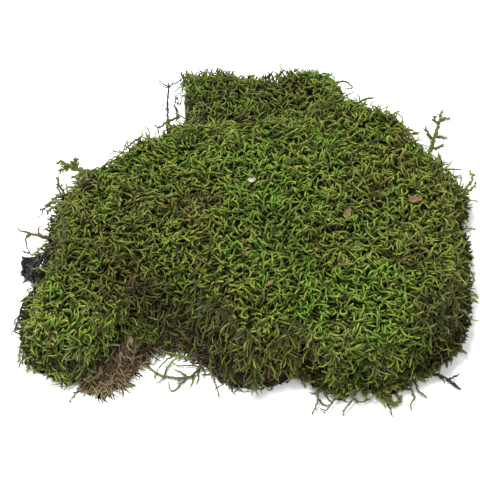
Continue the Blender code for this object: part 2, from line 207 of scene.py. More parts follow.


# ---- colour over the clump

# Where the moss differs from the rest: x, y, radius, shift of hue (brown to green), shift of brightness,
# which is painted light and shade (darker in the shaded hollows)
PATCHES = [
    (25, 26, 26, 0.34, 0.05), (24, -8, 26, 0.24, -0.09), (65, -48, 28, 0.24, 0.25),
    (-25, 62, 26, 0.10, 0.05), (-35, 12, 16, -0.24, -0.06), (-65, 0, 22, -0.27, -0.07),
    (97, 1, 22, -0.12, 0.06), (87, 45, 20, -0.04, 0.07), (-16, -57, 14, -0.34, -0.10),
    (-49, -46, 16, -0.36, -0.42), (105, -58, 20, -0.28, -0.36), (9, 105, 24, -0.08, -0.04),
    (-21, 107, 16, -0.14, -0.02), (46, 99, 16, 0.04, -0.12), (-70, -47, 12, 0.04, 0.0),
    (59, 29, 9, -0.16, 0.0), (-89, 35, 14, -0.08, -0.10), (38, 60, 24, 0.06, -0.04),
    (-106, -66, 17, 0.12, 0.30), (110, -18, 16, -0.06, -0.04), (-8, 22, 22, 0.14, 0.04),
    (2, -22, 16, 0.34, 0.14), (39, -60, 18, 0.16, 0.02), (-101, -14, 16, -0.05, -0.22),
    (8, -76, 15, -0.26, 0.0), (-80, -36, 18, -0.06, -0.07),
]
# Where some of the shoots are thin and bleached: x, y, radius, share of them
BLEACHED_PATCHES = [
    (-28, 103, 14, 0.30), (-30, 122, 12, 0.22), (0, 118, 22, 0.14), (57, -69, 5, 0.55), (26, -77, 5, 0.45),
    (-112, -66, 10, 0.30), (-88, -80, 9, 0.30), (-104, -20, 8, 0.20), (112, 42, 9, 0.20), (-52, 68, 10, 0.20),
    (-84, 47, 10, 0.20), (74, -92, 7, 0.30),
]


def near(x, y, px, py, radius):
    """1 at the middle of a patch, falling off smoothly round it."""
    return np.exp(-((x - px) ** 2 + (y - py) ** 2) / radius ** 2)


def patches_at(x, y):
    """How much greener the moss is at each place, and its painted light and shade there."""
    hue, light = np.zeros(len(x)), np.zeros(len(x))
    for px, py, radius, greener, painted_light in PATCHES:
        weight = near(x, y, px, py, radius)
        hue += greener * weight
        light += painted_light * weight
    return hue, light


def bleached_at(x, y):
    """The share of bleached shoots at each place."""
    share = np.full(len(x), 0.003)
    for px, py, radius, most in BLEACHED_PATCHES:
        share = np.maximum(share, most * near(x, y, px, py, radius))
    return share


def hue_at(x, y):
    """Where the moss stands between dead brown (0) and fresh green (1)."""
    return (0.66 + 0.44 * (noise(x, y, 23, 1) - 0.5) + 0.56 * (noise(x, y, 8.5, 2) - 0.5)
            + patches_at(x, y)[0])


# ---- meshes

def add_piece(name, node, slot, material, verts, faces, uvs=None):
    """A visible mesh from arrays in mm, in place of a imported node. uvs are places in the palette."""
    data = bpy.data.meshes.new(name)
    data.vertices.add(len(verts))
    data.vertices.foreach_set("co", ((np.asarray(verts) + HOME) * MM).astype(np.float32).ravel())
    counts = np.concatenate([np.full(len(f), f.shape[1]) for f in faces])
    loops = np.concatenate([f.ravel() for f in faces])
    data.loops.add(len(loops))
    data.loops.foreach_set("vertex_index", loops.astype(np.int32))
    data.polygons.add(len(counts))
    data.polygons.foreach_set("loop_start", np.concatenate([[0], np.cumsum(counts)[:-1]]).astype(np.int32))
    data.polygons.foreach_set("use_smooth", np.full(len(counts), True))
    if uvs is not None:
        places = np.concatenate([u.reshape(-1, 2) for u in uvs])
        data.uv_layers.new(name="OFBake").data.foreach_set("uv", places.astype(np.float32).ravel())
    data.update(calc_edges=True)
    data.validate()
    data.materials.append(material)
    made = bpy.data.objects.new(name, data)
    bpy.context.scene.collection.objects.link(made)
    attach(made, "root")
    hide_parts(node)


def uv_corners(*corners):
    """The palette places of every face, from those of its corners as (along, hue)."""
    return np.stack([np.stack(corner, -1) for corner in corners], axis=-2).reshape(-1, len(corners), 2)


def sweep(paths, radii, hues, sides, leaves=0, leaf=(0.8, 0.55), reach=1.0, foot=0.0):
    """Round stems along many paths at once, with small pointed leaves set round them.

    paths is (n, rows, 3), radii (n, rows) and hues (n,). leaf has a leaf's length and width. Each stem takes
    the palette's strip at its hue, from foot (0 is the dark end) at its base to reach at its tip.
    """
    n, rows = paths.shape[:2]
    reach = np.broadcast_to(reach, n)
    ahead = np.empty_like(paths)
    ahead[:, 1:-1] = paths[:, 2:] - paths[:, :-2]
    ahead[:, 0] = paths[:, 1] - paths[:, 0]
    ahead[:, -1] = paths[:, -1] - paths[:, -2]
    ahead = unit(ahead)
    bend = unit(np.cross(ahead[:, 0], ahead[:, -1]) + np.array([0.013, 0.021, 0.003]))
    side = unit(np.cross(ahead, bend[:, None, :]))
    up = unit(np.cross(side, ahead))
    turn = rng.random(n) * 2 * np.pi
    angle = turn[:, None] + np.arange(sides) * 2 * np.pi / sides
    ring = (side[:, :, None, :] * np.cos(angle)[:, None, :, None]
            + up[:, :, None, :] * np.sin(angle)[:, None, :, None])
    verts = paths[:, :, None, :] + ring * radii[:, :, None, None]
    first = (np.arange(n) * rows * sides)[:, None, None]
    row = (np.arange(rows - 1) * sides)[None, :, None]
    col = np.arange(sides)[None, None, :]
    nxt = (np.arange(sides) + 1)[None, None, :] % sides
    a, b = first + row + col, first + row + nxt
    quads = np.stack([a, b, b + sides, a + sides], axis=-1).reshape(-1, 4)
    strip = np.where(hues == BLEACHED, BLEACHED, np.clip(hues, DEAD, FRESHEST))
    share = (reach - foot)[:, None, None] / (rows - 1)
    u0 = np.broadcast_to(foot + np.arange(rows - 1)[None, :, None] * share, a.shape)
    u1 = np.minimum(u0 + share, 1.0)
    v0 = np.broadcast_to(strip[:, None, None], a.shape)
    v1 = v0 + STRIP
    all_verts, faces = [verts.reshape(-1, 3)], [quads]
    uvs = [uv_corners((u0, v0), (u0, v1), (u1, v1), (u1, v0))]
    if leaves:
        t = np.linspace(0.10, 1.0, leaves)[None, :] + rng.uniform(-0.02, 0.02, (n, leaves))
        t = np.clip(t, 0, 0.999) * (rows - 1)
        low = np.floor(t).astype(int)
        part = (t - low)[..., None]
        who = np.arange(n)[:, None]

        def between(values):
            return values[who, low] * (1 - part) + values[who, low + 1] * part

        centre, forward = between(paths), unit(between(ahead))
        s, w = between(side), between(up)
        r = between(radii[..., None])
        phi = turn[:, None] + np.arange(leaves) * LEAF_TURN + rng.uniform(-0.4, 0.4, (n, leaves))
        phi = phi[..., None]
        out = unit(s * np.cos(phi) + w * np.sin(phi))
        across = np.cross(forward, out)
        size = (0.75 + 0.5 * rng.random((n, leaves, 1))) * (0.55 + 0.45 * r / radii.max())
        base = centre + out * r * 0.75
        lean = forward * (0.75 + 0.5 * rng.random((n, leaves, 1))) + out * 0.75
        tip = base + unit(lean) * size * leaf[0]
        half = across * leaf[1] * 0.5 * size
        tu = foot + t / (rows - 1) * (reach[:, None] - foot) * 0.95
        tv = np.broadcast_to(strip[:, None], tu.shape)
        end = np.minimum(tu + 0.09, 1.0)
        faces.append(len(all_verts[0]) + np.arange(n * leaves * 3).reshape(-1, 3))
        all_verts.append(np.stack([base - half, base + half, tip], axis=2).reshape(-1, 3))
        uvs.append(uv_corners((tu, tv), (tu, tv + STRIP), (end, tv + STRIP / 2)))
    verts = np.concatenate(all_verts)
    verts[:, 2] = np.maximum(verts[:, 2], FLOOR_GAP)
    return verts, faces, uvs


def shoots(paths, size, hues, sides, leaves=0, leaf=(0.8, 0.55), reach=1.0, foot=0.0):
    """A sweep with a shoot's outline: size is its greatest radius, past its middle, and its tip is thin."""
    t = np.linspace(0, 1, paths.shape[1])
    profile = np.interp(t, [0, 0.15, 0.55, 0.85, 1.0], [0.5, 0.8, 1.0, 0.86, 0.34])
    return sweep(paths, profile * size[:, None], hues, sides, leaves, leaf, reach, foot)


def joined(parts):
    """Puts the results of several sweeps into one set of arrays."""
    verts, faces, uvs, start = [], [], [], 0
    for v, f, u in parts:
        verts.append(v)
        faces += [g + start for g in f]
        uvs += u
        start += len(v)
    return np.concatenate(verts), faces, uvs


def length_of(points):
    """Length of a line of given points."""
    return float(np.linalg.norm(np.diff(np.array(points, float), axis=0), axis=1).sum())


def grow(points, radius, hue, leaves=0, foot=0.45, reach=0.88, leaf_length=0.9, sides=5, taper=0.45):
    """One listed stem: thick at its foot, thin at its tip, with leaves on it if it is alive."""
    rows = int(np.clip(length_of(points) / 1.1, 6, 26))
    path = curve_through(points, rows)
    wobble = rng.normal(0, 0.05 + 0.16 * radius, path.shape)
    wobble[0] = 0
    t = np.linspace(0, 1, rows)
    radii = radius * (1 - (1 - taper) * t) * np.where(t > 0.93, 0.5, 1.0) * rng.uniform(0.88, 1.1, rows)
    return sweep((path + wobble)[None], radii[None], np.array([hue]), sides, leaves,
                 (leaf_length, leaf_length * 0.6), reach, foot)


def branchlets(points, every, size, radius, hue, foot, reach, steps=4):
    """Short leafy side shoots along a stem, alternately left and right, curved towards its tip."""
    n = max(2, int(length_of(points) / every))
    path = curve_through(points, n + 2)
    ahead = unit(path[2:] - path[:-2])
    side = unit(np.cross(ahead, UP)) * np.where(np.arange(n) % 2, 1, -1)[:, None]
    start = path[1:-1] + rng.normal(0, 0.25, (n, 3))
    length = size * rng.uniform(0.55, 1.2, n) * (1 - 0.45 * np.linspace(0, 1, n))
    lift = rng.uniform(-0.5, 0.6, n)[:, None] * UP
    paths = walk(start, length, steps, 0.22,
                 lambda t: side * (1.1 - 0.8 * t) + ahead * (0.45 + 0.9 * t) + lift * (1 - t))
    sizes = radius * rng.uniform(0.75, 1.2, n)
    hues = hue + rng.normal(0, 0.05, n) * (hue > 0.1)
    return shoots(paths, sizes, hues, 4, 5, (1.5 * radius + 0.25, radius + 0.15), reach, foot)


def grid_of(rows, columns, t_from, s_from):
    """How far along and how far across each point of a grid is: up to 1, from 0 or -1."""
    return np.meshgrid(np.linspace(t_from, 1, rows), np.linspace(s_from, 1, columns), indexing="ij")


def slab(grid, thickness):
    """A closed thin body either side of a grid of points, for leaves and bark."""
    rows, columns = grid.shape[:2]
    normal = unit(np.cross(np.gradient(grid, axis=0), np.gradient(grid, axis=1)))
    edge = np.ones((rows, columns))
    edge[[0, -1], :] = 0.35
    edge[:, [0, -1]] = 0.35
    half = normal * (thickness / 2 * edge)[..., None]
    verts = np.concatenate([(grid + half).reshape(-1, 3), (grid - half).reshape(-1, 3)])
    i, j = np.meshgrid(np.arange(rows - 1), np.arange(columns - 1), indexing="ij")
    a = (i * columns + j).ravel()
    top = np.stack([a, a + columns, a + columns + 1, a + 1], axis=1)
    below = top[:, ::-1] + rows * columns
    number = np.arange(rows * columns).reshape(rows, columns)
    loop = np.concatenate([number[:, 0], number[-1, 1:], number[-2::-1, -1], number[0, -2:0:-1]])
    nxt = np.roll(loop, -1)
    rim = np.stack([nxt, loop, loop + rows * columns, nxt + rows * columns], axis=1)
    return verts, [top, below, rim]


# ---- materials

def material_of(name, roughness, specular):
    made = bpy.data.materials.new(name)
    made.use_nodes = True
    shader = made.node_tree.nodes["Principled BSDF"]
    shader.inputs["Roughness"].default_value = roughness
    shader.inputs["Specular IOR Level"].default_value = specular
    return made, made.node_tree, shader


def add_ramp(tree, source, stops):
    node = tree.nodes.new("ShaderNodeValToRGB")
    marks = node.color_ramp.elements
    while len(marks) < len(stops):
        marks.new(0.5)
    for mark, (place, colour) in zip(marks, stops):
        mark.position = place
        mark.color = (*colour, 1)
    tree.links.new(source, node.inputs[0])
    return node.outputs["Color"]


def add_mix(tree, factor, a, b, blend="MIX"):
    node = tree.nodes.new("ShaderNodeMix")
    node.data_type = "RGBA"
    node.blend_type = blend
    if isinstance(factor, float):
        node.inputs[0].default_value = factor
    else:
        tree.links.new(factor, node.inputs[0])
    tree.links.new(a, node.inputs[6])
    tree.links.new(b, node.inputs[7])
    return node.outputs[2]


def add_math(tree, kind, a, b=0.0, clamp=False):
    node = tree.nodes.new("ShaderNodeMath")
    node.operation = kind
    node.use_clamp = clamp
    for value, socket in ((a, node.inputs[0]), (b, node.inputs[1])):
        if isinstance(value, (int, float)):
            socket.default_value = value
        else:
            tree.links.new(value, socket)
    return node.outputs[0]


def palette(tree):
    """The two palette coordinates: along the stem, and brown to green."""
    uv = tree.nodes.new("ShaderNodeUVMap")
    uv.uv_map = "OFBake"
    split = tree.nodes.new("ShaderNodeSeparateXYZ")
    tree.links.new(uv.outputs[0], split.inputs[0])
    return split.outputs[0], split.outputs[1]


def banded(tree, colour, along, count, depth):
    """Fine darker bands along the stem: painted shade between overlapping leaves, and dark stem joints."""
    wave = add_math(tree, "SINE", add_math(tree, "MULTIPLY", along, 2 * math.pi * count))
    shade = add_math(tree, "ADD", add_math(tree, "MULTIPLY", wave, depth), 1 - depth)
    grey = tree.nodes.new("ShaderNodeCombineXYZ")
    for k in range(3):
        tree.links.new(shade, grey.inputs[k])
    return add_mix(tree, 1.0, colour, grey.outputs[0], "MULTIPLY")


def moss_material():
    made, tree, shader = material_of("moss_shoots", 0.62, 0.22)
    along, hue = palette(tree)
    dead = add_ramp(tree, along, [(0.0, (0.014, 0.008, 0.004)), (0.45, (0.048, 0.030, 0.010)),
                                  (0.8, (0.128, 0.090, 0.028)), (1.0, (0.24, 0.185, 0.065))])
    olive = add_ramp(tree, along, [(0.0, (0.012, 0.012, 0.003)), (0.4, (0.062, 0.075, 0.010)),
                                   (0.75, (0.168, 0.202, 0.023)), (1.0, (0.31, 0.355, 0.054))])
    fresh = add_ramp(tree, along, [(0.0, (0.010, 0.016, 0.002)), (0.4, (0.044, 0.084, 0.006)),
                                   (0.75, (0.112, 0.212, 0.016)), (1.0, (0.225, 0.36, 0.040))])
    bleached = add_ramp(tree, along, [(0.0, (0.020, 0.019, 0.015)), (0.4, (0.064, 0.070, 0.036)),
                                      (0.75, (0.150, 0.172, 0.086)), (1.0, (0.27, 0.31, 0.172))])
    warm = add_mix(tree, add_math(tree, "MULTIPLY", hue, 2.0, True), dead, olive)
    cool = add_math(tree, "SUBTRACT", add_math(tree, "MULTIPLY", hue, 2.0), 1.0, True)
    alive = add_mix(tree, cool, warm, fresh)
    # the lowest strip of the palette holds the bleached shoots
    rest = add_math(tree, "MULTIPLY", add_math(tree, "SUBTRACT", hue, BLEACHED + 0.015), 100.0, True)
    # bands of painted shade between the shoot's overlapping leaves
    colour = banded(tree, add_mix(tree, rest, bleached, alive), along, 9, 0.10)
    tree.links.new(colour, shader.inputs["Base Color"])
    return made


def fibre_material():
    """Dead stems: dark humus-stained at v = 0, dry straw at v = 1."""
    made, tree, shader = material_of("thatch_fibres", 0.85, 0.15)
    along, tone = palette(tree)
    stained = add_ramp(tree, along, [(0.0, (0.014, 0.010, 0.007)), (0.5, (0.040, 0.028, 0.018)),
                                     (1.0, (0.085, 0.062, 0.042))])
    straw = add_ramp(tree, along, [(0.0, (0.080, 0.055, 0.026)), (0.5, (0.22, 0.165, 0.080)),
                                   (1.0, (0.37, 0.295, 0.165))])
    colour = banded(tree, add_mix(tree, tone, stained, straw), along, 6, 0.12)
    tree.links.new(colour, shader.inputs["Base Color"])
    return made


def grainy_material(name, stops, scale, roughness, specular, bump, stretch=(1, 1, 1)):
    """Mottled, streaky or fibrous matter: noise in the object's own space, with the same noise as bump."""
    made, tree, shader = material_of(name, roughness, specular)
    where = tree.nodes.new("ShaderNodeTexCoord")
    place = tree.nodes.new("ShaderNodeMapping")
    place.inputs["Scale"].default_value = stretch
    tree.links.new(where.outputs["Object"], place.inputs["Vector"])
    grain = tree.nodes.new("ShaderNodeTexNoise")
    grain.inputs["Scale"].default_value = scale
    grain.inputs["Detail"].default_value = 6.0
    grain.inputs["Roughness"].default_value = 0.68
    tree.links.new(place.outputs[0], grain.inputs["Vector"])
    tree.links.new(add_ramp(tree, grain.outputs["Fac"], stops), shader.inputs["Base Color"])
    spread = add_math(tree, "MULTIPLY", grain.outputs["Fac"], 0.16)
    rough = add_math(tree, "ADD", spread, roughness - 0.08, True)
    tree.links.new(rough, shader.inputs["Roughness"])
    relief = tree.nodes.new("ShaderNodeBump")
    relief.inputs["Strength"].default_value = bump
    relief.inputs["Distance"].default_value = 0.0006
    tree.links.new(grain.outputs["Fac"], relief.inputs["Height"])
    tree.links.new(relief.outputs[0], shader.inputs["Normal"])
    return made


MOSS = moss_material()
FIBRE = fibre_material()
BARK = grainy_material("bark", [(0.34, (0.006, 0.005, 0.005)), (0.52, (0.024, 0.020, 0.018)),
                                (0.70, (0.105, 0.092, 0.082))], 900, 0.85, 0.25, 0.6, (1, 0.3, 1))
DEAD_LEAF = grainy_material("dead_leaf", [(0.30, (0.055, 0.032, 0.014)), (0.52, (0.150, 0.092, 0.042)),
                                          (0.74, (0.28, 0.195, 0.105))], 700, 0.75, 0.25, 0.4)
HUMUS = grainy_material("humus", [(0.30, (0.006, 0.005, 0.003)), (0.50, (0.022, 0.015, 0.009)),
                                  (0.75, (0.070, 0.048, 0.028))], 340, 0.95, 0.1, 0.7)
# painted shade: the mat's dead inner layer, drawn near-black and darker than its dead stems, as the shade
# deep between the shoots
PAINTED_SHADE_INSIDE = grainy_material("moss_inside_painted_shade", [(0.30, (0.003, 0.003, 0.002)), (0.52, (0.008, 0.007, 0.003)),
                                         (0.75, (0.022, 0.019, 0.008))], 260, 0.95, 0.05, 0.5)
STRAW = grainy_material("straw", [(0.30, (0.15, 0.105, 0.055)), (0.52, (0.27, 0.20, 0.11)),
                                  (0.74, (0.40, 0.31, 0.18))], 1400, 0.7, 0.3, 0.3, (1, 0.12, 1))
PALE = grainy_material("pale_fleck", [(0.34, (0.12, 0.12, 0.08)), (0.50, (0.33, 0.33, 0.27)),
                                      (0.70, (0.50, 0.50, 0.44))], 900, 0.8, 0.2, 0.3)
POD = grainy_material("pod", [(0.35, (0.010, 0.009, 0.010)), (0.55, (0.022, 0.019, 0.020)),
                              (0.75, (0.060, 0.050, 0.044))], 1500, 0.35, 0.5, 0.2)


# ---- the shoots of the mat

def shoot_paths(place, normal, length, deep, steps=SHOOT_STEPS, rise=(50, 82), end=(-55, 40)):
    """Curved paths that rise from inside the mat, bend over near its surface and turn as they go."""
    n = len(place)
    flow = noise(place[:, 0], place[:, 1], 17, 5) * 4 * np.pi + rng.normal(0, 1.25, n)
    around = np.stack([np.cos(flow), np.sin(flow), np.zeros(n)], axis=1)
    steep = 1 - np.clip(normal[:, 2], 0, 1)
    around -= 1.1 * UP * (steep ** 1.2)[:, None]
    along = unit(around - normal * (around * normal).sum(1, keepdims=True))
    sideways = np.cross(normal, along)
    first, last = (np.radians(rng.uniform(*span, n)) for span in (rise, end))
    turn, wave, phase = rng.normal(0, 1.25, n), rng.uniform(0, 0.5, n), rng.uniform(0, 2 * np.pi, n)

    def way(t):
        tilt = first + (last - first) * t ** 0.8
        heading = turn * (t - 0.4) * 1.6 + wave * np.sin(2 * np.pi * t + phase)
        flat = along * np.cos(heading)[:, None] + sideways * np.sin(heading)[:, None]
        return normal * np.sin(tilt)[:, None] + flat * np.cos(tilt)[:, None]

    foot = place - normal * deep[:, None] - along * (length * 0.30)[:, None]
    return walk(foot, length, steps, 0.12, way)


def outer_faces(normal, centre):
    """All of the mat but its underside."""
    return ((normal[:, 2] > -0.15) & (centre[:, 2] > 1.0)).astype(float)


def side_faces(normal, centre):
    """The steep faces round the mat's edge."""
    return ((normal[:, 2] > -0.2) & (normal[:, 2] < 0.62) & (centre[:, 2] > 1.5)).astype(float)


def mat_shoots(count):
    place, normal = surface_points(mat_points, mat_tris, 4 * count, outer_faces)
    place, normal = evenly_spread(place, normal, count)
    count = len(place)
    x, y, z = place.T
    # tufts: shoots stand higher on the swellings between the pits
    tuft = noise(x, y, 7.5, 11) * 0.65 + noise(x, y, 15, 12) * 0.35
    painted_light = patches_at(x, y)[1]
    kind = rng.random(count)
    long, short = kind < LONG_SHARE, kind > SHORT_FROM
    length = rng.uniform(7.0, 10.5, count) * np.where(long, 1.5, np.where(short, 0.75, 1.0))
    steep = 1 - np.clip(normal[:, 2], 0, 1)
    # how far down a shoot starts: deeper in the pits and on the sides, most of all beside the dark stalk
    deep = (4.6 + 3.2 * (1 - tuft) + rng.uniform(-0.7, 1.1, count) - 3.0 * painted_light + 2.6 * steep
            - np.where(long, 1.0, 0.0) + 2.5 * steep * (x < -28) * (y > 78))
    paths = shoot_paths(place, normal, length, deep)
    hue = hue_at(x, y) + rng.normal(0, 0.15, count)
    hue -= 0.24 * (1 - ramp(z, 2.0, 15.0)) * (y < 75)
    hue = np.where(rng.random(count) < 0.08, rng.uniform(DEAD, 0.34, count), hue)
    bleached = rng.random(count) < bleached_at(x, y)
    hue = np.where(bleached, BLEACHED, np.clip(hue, DEAD, 1))
    # painted light and shade: shoots in the pits between the tufts and in the patches of painted shade end at
    # a darker point of the palette, those in painted light at a lighter one
    reach = np.clip(rng.uniform(0.74, 1.0, count) + 0.22 * (tuft - 0.5) + painted_light, 0.4, 1.0)
    # finer shoots on the low back lobe, and wherever they are bleached
    fine = 1 - 0.22 * ramp(y - 0.22 * x, 84, 94) * (x < 40)
    size = SHOOT_RADIUS * rng.uniform(0.72, 1.2, count) * fine * np.where(bleached, 0.72, 1.0)
    size *= np.where(long, 0.82, 1.0)
    # the back lobe's left edge is bare beside the dark stalk
    kept = (paths[:, :, 0].min(1) > -36 - 5 * noise(y, 0 * y, 3, 13)) | (y < 88) | (y > 126)
    return place[kept], paths[kept], size[kept], hue[kept], reach[kept]


def under_shoots(count, steps=4):
    """Bare brown stems deeper in the mat, seen between the leafy shoots."""
    place, normal = surface_points(mat_points, mat_tris, count, outer_faces)
    paths = shoot_paths(place, normal, rng.uniform(7, 12, count), rng.uniform(4.2, 7.2, count), steps,
                        (25, 70), (-40, 10))
    hue = rng.uniform(DEAD, 0.5, count)
    return shoots(paths, np.full(count, 0.42), hue, 3, reach=rng.uniform(0.45, 0.8, count))


# The mat's shoots go into one piece for each band from left to right: its name, from x, to x
BANDS = [("moss_left", -200, -56), ("moss_mid_left", -56, -12), ("moss_mid", -12, 30),
         ("moss_mid_right", 30, 72), ("moss_right", 72, 200)]


def make_mat():
    place, paths, size, hue, reach = mat_shoots(SHOOTS)
    for name, low, high in BANDS:
        chosen = (place[:, 0] >= low) & (place[:, 0] < high)
        add_piece(name, "moss_mat", "moss_green", MOSS,
                  *shoots(paths[chosen], size[chosen], hue[chosen], SHOOT_SIDES, SHOOT_LEAVES, SHOOT_LEAF,
                          reach[chosen]))
    add_piece("moss_understory", "moss_mat", "moss_green", MOSS, *under_shoots(UNDER_SHOOTS))


def inner_arrays():
    """A lumpy surface under the shoots that follows the mat's top, down to the ground at its edge: the mat's
    dead inner layer, painted near-black as the shade between the shoots.
    """
    low, high = mat_points.min(0), mat_points.max(0)
    xs = np.arange(low[0] - GRID, high[0] + 2 * GRID, GRID)
    ys = np.arange(low[1] - GRID, high[1] + 2 * GRID, GRID)
    gx, gy = np.meshgrid(xs, ys, indexing="ij")
    top = np.nan_to_num(top_of(mat_tree, gx.ravel(), gy.ravel()), nan=0.0).reshape(gx.shape)
    # the lowest top within two squares, which keeps the surface off the mat's sides
    reach = 2
    least, padded = top.copy(), np.pad(top, reach)
    rows, columns = top.shape
    for dx in range(2 * reach + 1):
        for dy in range(2 * reach + 1):
            if (dx - reach) ** 2 + (dy - reach) ** 2 <= reach * reach:
                least = np.minimum(least, padded[dx:dx + rows, dy:dy + columns])
    coarse, fine = noise(gx, gy, 5, 21) - 0.5, noise(gx, gy, 2.6, 22) - 0.5
    z = least - INNER_DEPTH + 2.4 * coarse + 1.6 * fine
    inside = least > 1.0
    z = np.where(inside, np.maximum(z, 0.6), 0.4)
    used = inside.copy()
    used[1:] |= inside[:-1]
    used[:-1] |= inside[1:]
    used[:, 1:] |= used[:, :-1].copy()
    used[:, :-1] |= used[:, 1:].copy()
    number = -np.ones(gx.shape, int)
    number[used] = np.arange(used.sum())
    verts = np.stack([gx[used], gy[used], z[used]], axis=1)
    a, b, c, d = number[:-1, :-1], number[1:, :-1], number[1:, 1:], number[:-1, 1:]
    ok = (a >= 0) & (b >= 0) & (c >= 0) & (d >= 0)
    top = np.stack([a[ok], b[ok], c[ok], d[ok]], axis=1)
    # a lower skin, and a wall where an edge of the top belongs to one square only, make the body closed
    count = len(verts)
    lower = verts.copy()
    lower[:, 2] = FLOOR_GAP
    sides = np.concatenate([top[:, [k, (k + 1) % 4]] for k in range(4)])
    key, back = sides[:, 0] * count + sides[:, 1], sides[:, 1] * count + sides[:, 0]
    border = sides[~np.isin(key, back)]
    wall = np.stack([border[:, 1], border[:, 0], border[:, 0] + count, border[:, 1] + count], axis=1)
    verts = np.concatenate([verts, lower])
    quads = np.concatenate([top, top[:, ::-1] + count, wall])
    uv = (verts[:, :2] - [xs[0], ys[0]]) / [xs[-1] - xs[0], ys[-1] - ys[0]]
    return verts, [quads], [uv[quads]]


def make_inside():
    add_piece("moss_inside_painted_shade", "moss_mat", "moss_green", PAINTED_SHADE_INSIDE, *inner_arrays())


# ---- the wispy edge

def rim_faces(normal, centre):
    """The sides of the mat, without the bare left edge of the back lobe beside the dark stalk."""
    return side_faces(normal, centre) * ((centre[:, 0] > -32) | (centre[:, 1] < 82))


def rim_shoots(count, steps=8):
    """Thin shoots and dead stems that stand out all round the edge."""
    place, normal = surface_points(mat_points, mat_tris, count, rim_faces)
    length = rng.uniform(5.5, 12, count) * rng.uniform(0.7, 1.15, count)
    outward = unit(normal * [1, 1, 0.2])
    sideways = np.cross(outward, UP)
    bow = rng.normal(0, 0.7, count)[:, None]
    sag = rng.uniform(-0.3, 0.9, count)[:, None]
    paths = walk(place - normal * 3.5, length, steps, 0.2,
                 lambda t: outward * (1.0 - 0.3 * t) + sideways * bow * t * 1.5 - UP * sag * t)
    hue = np.clip(rng.normal(0.38, 0.22, count), DEAD, 0.8)
    hue = np.where(rng.random(count) < 0.3, BLEACHED, hue)
    size = rng.uniform(0.24, 0.46, count)
    return shoots(paths, size, hue, 4, 12, (0.8, 0.45), rng.uniform(0.7, 0.95, count), 0.4)


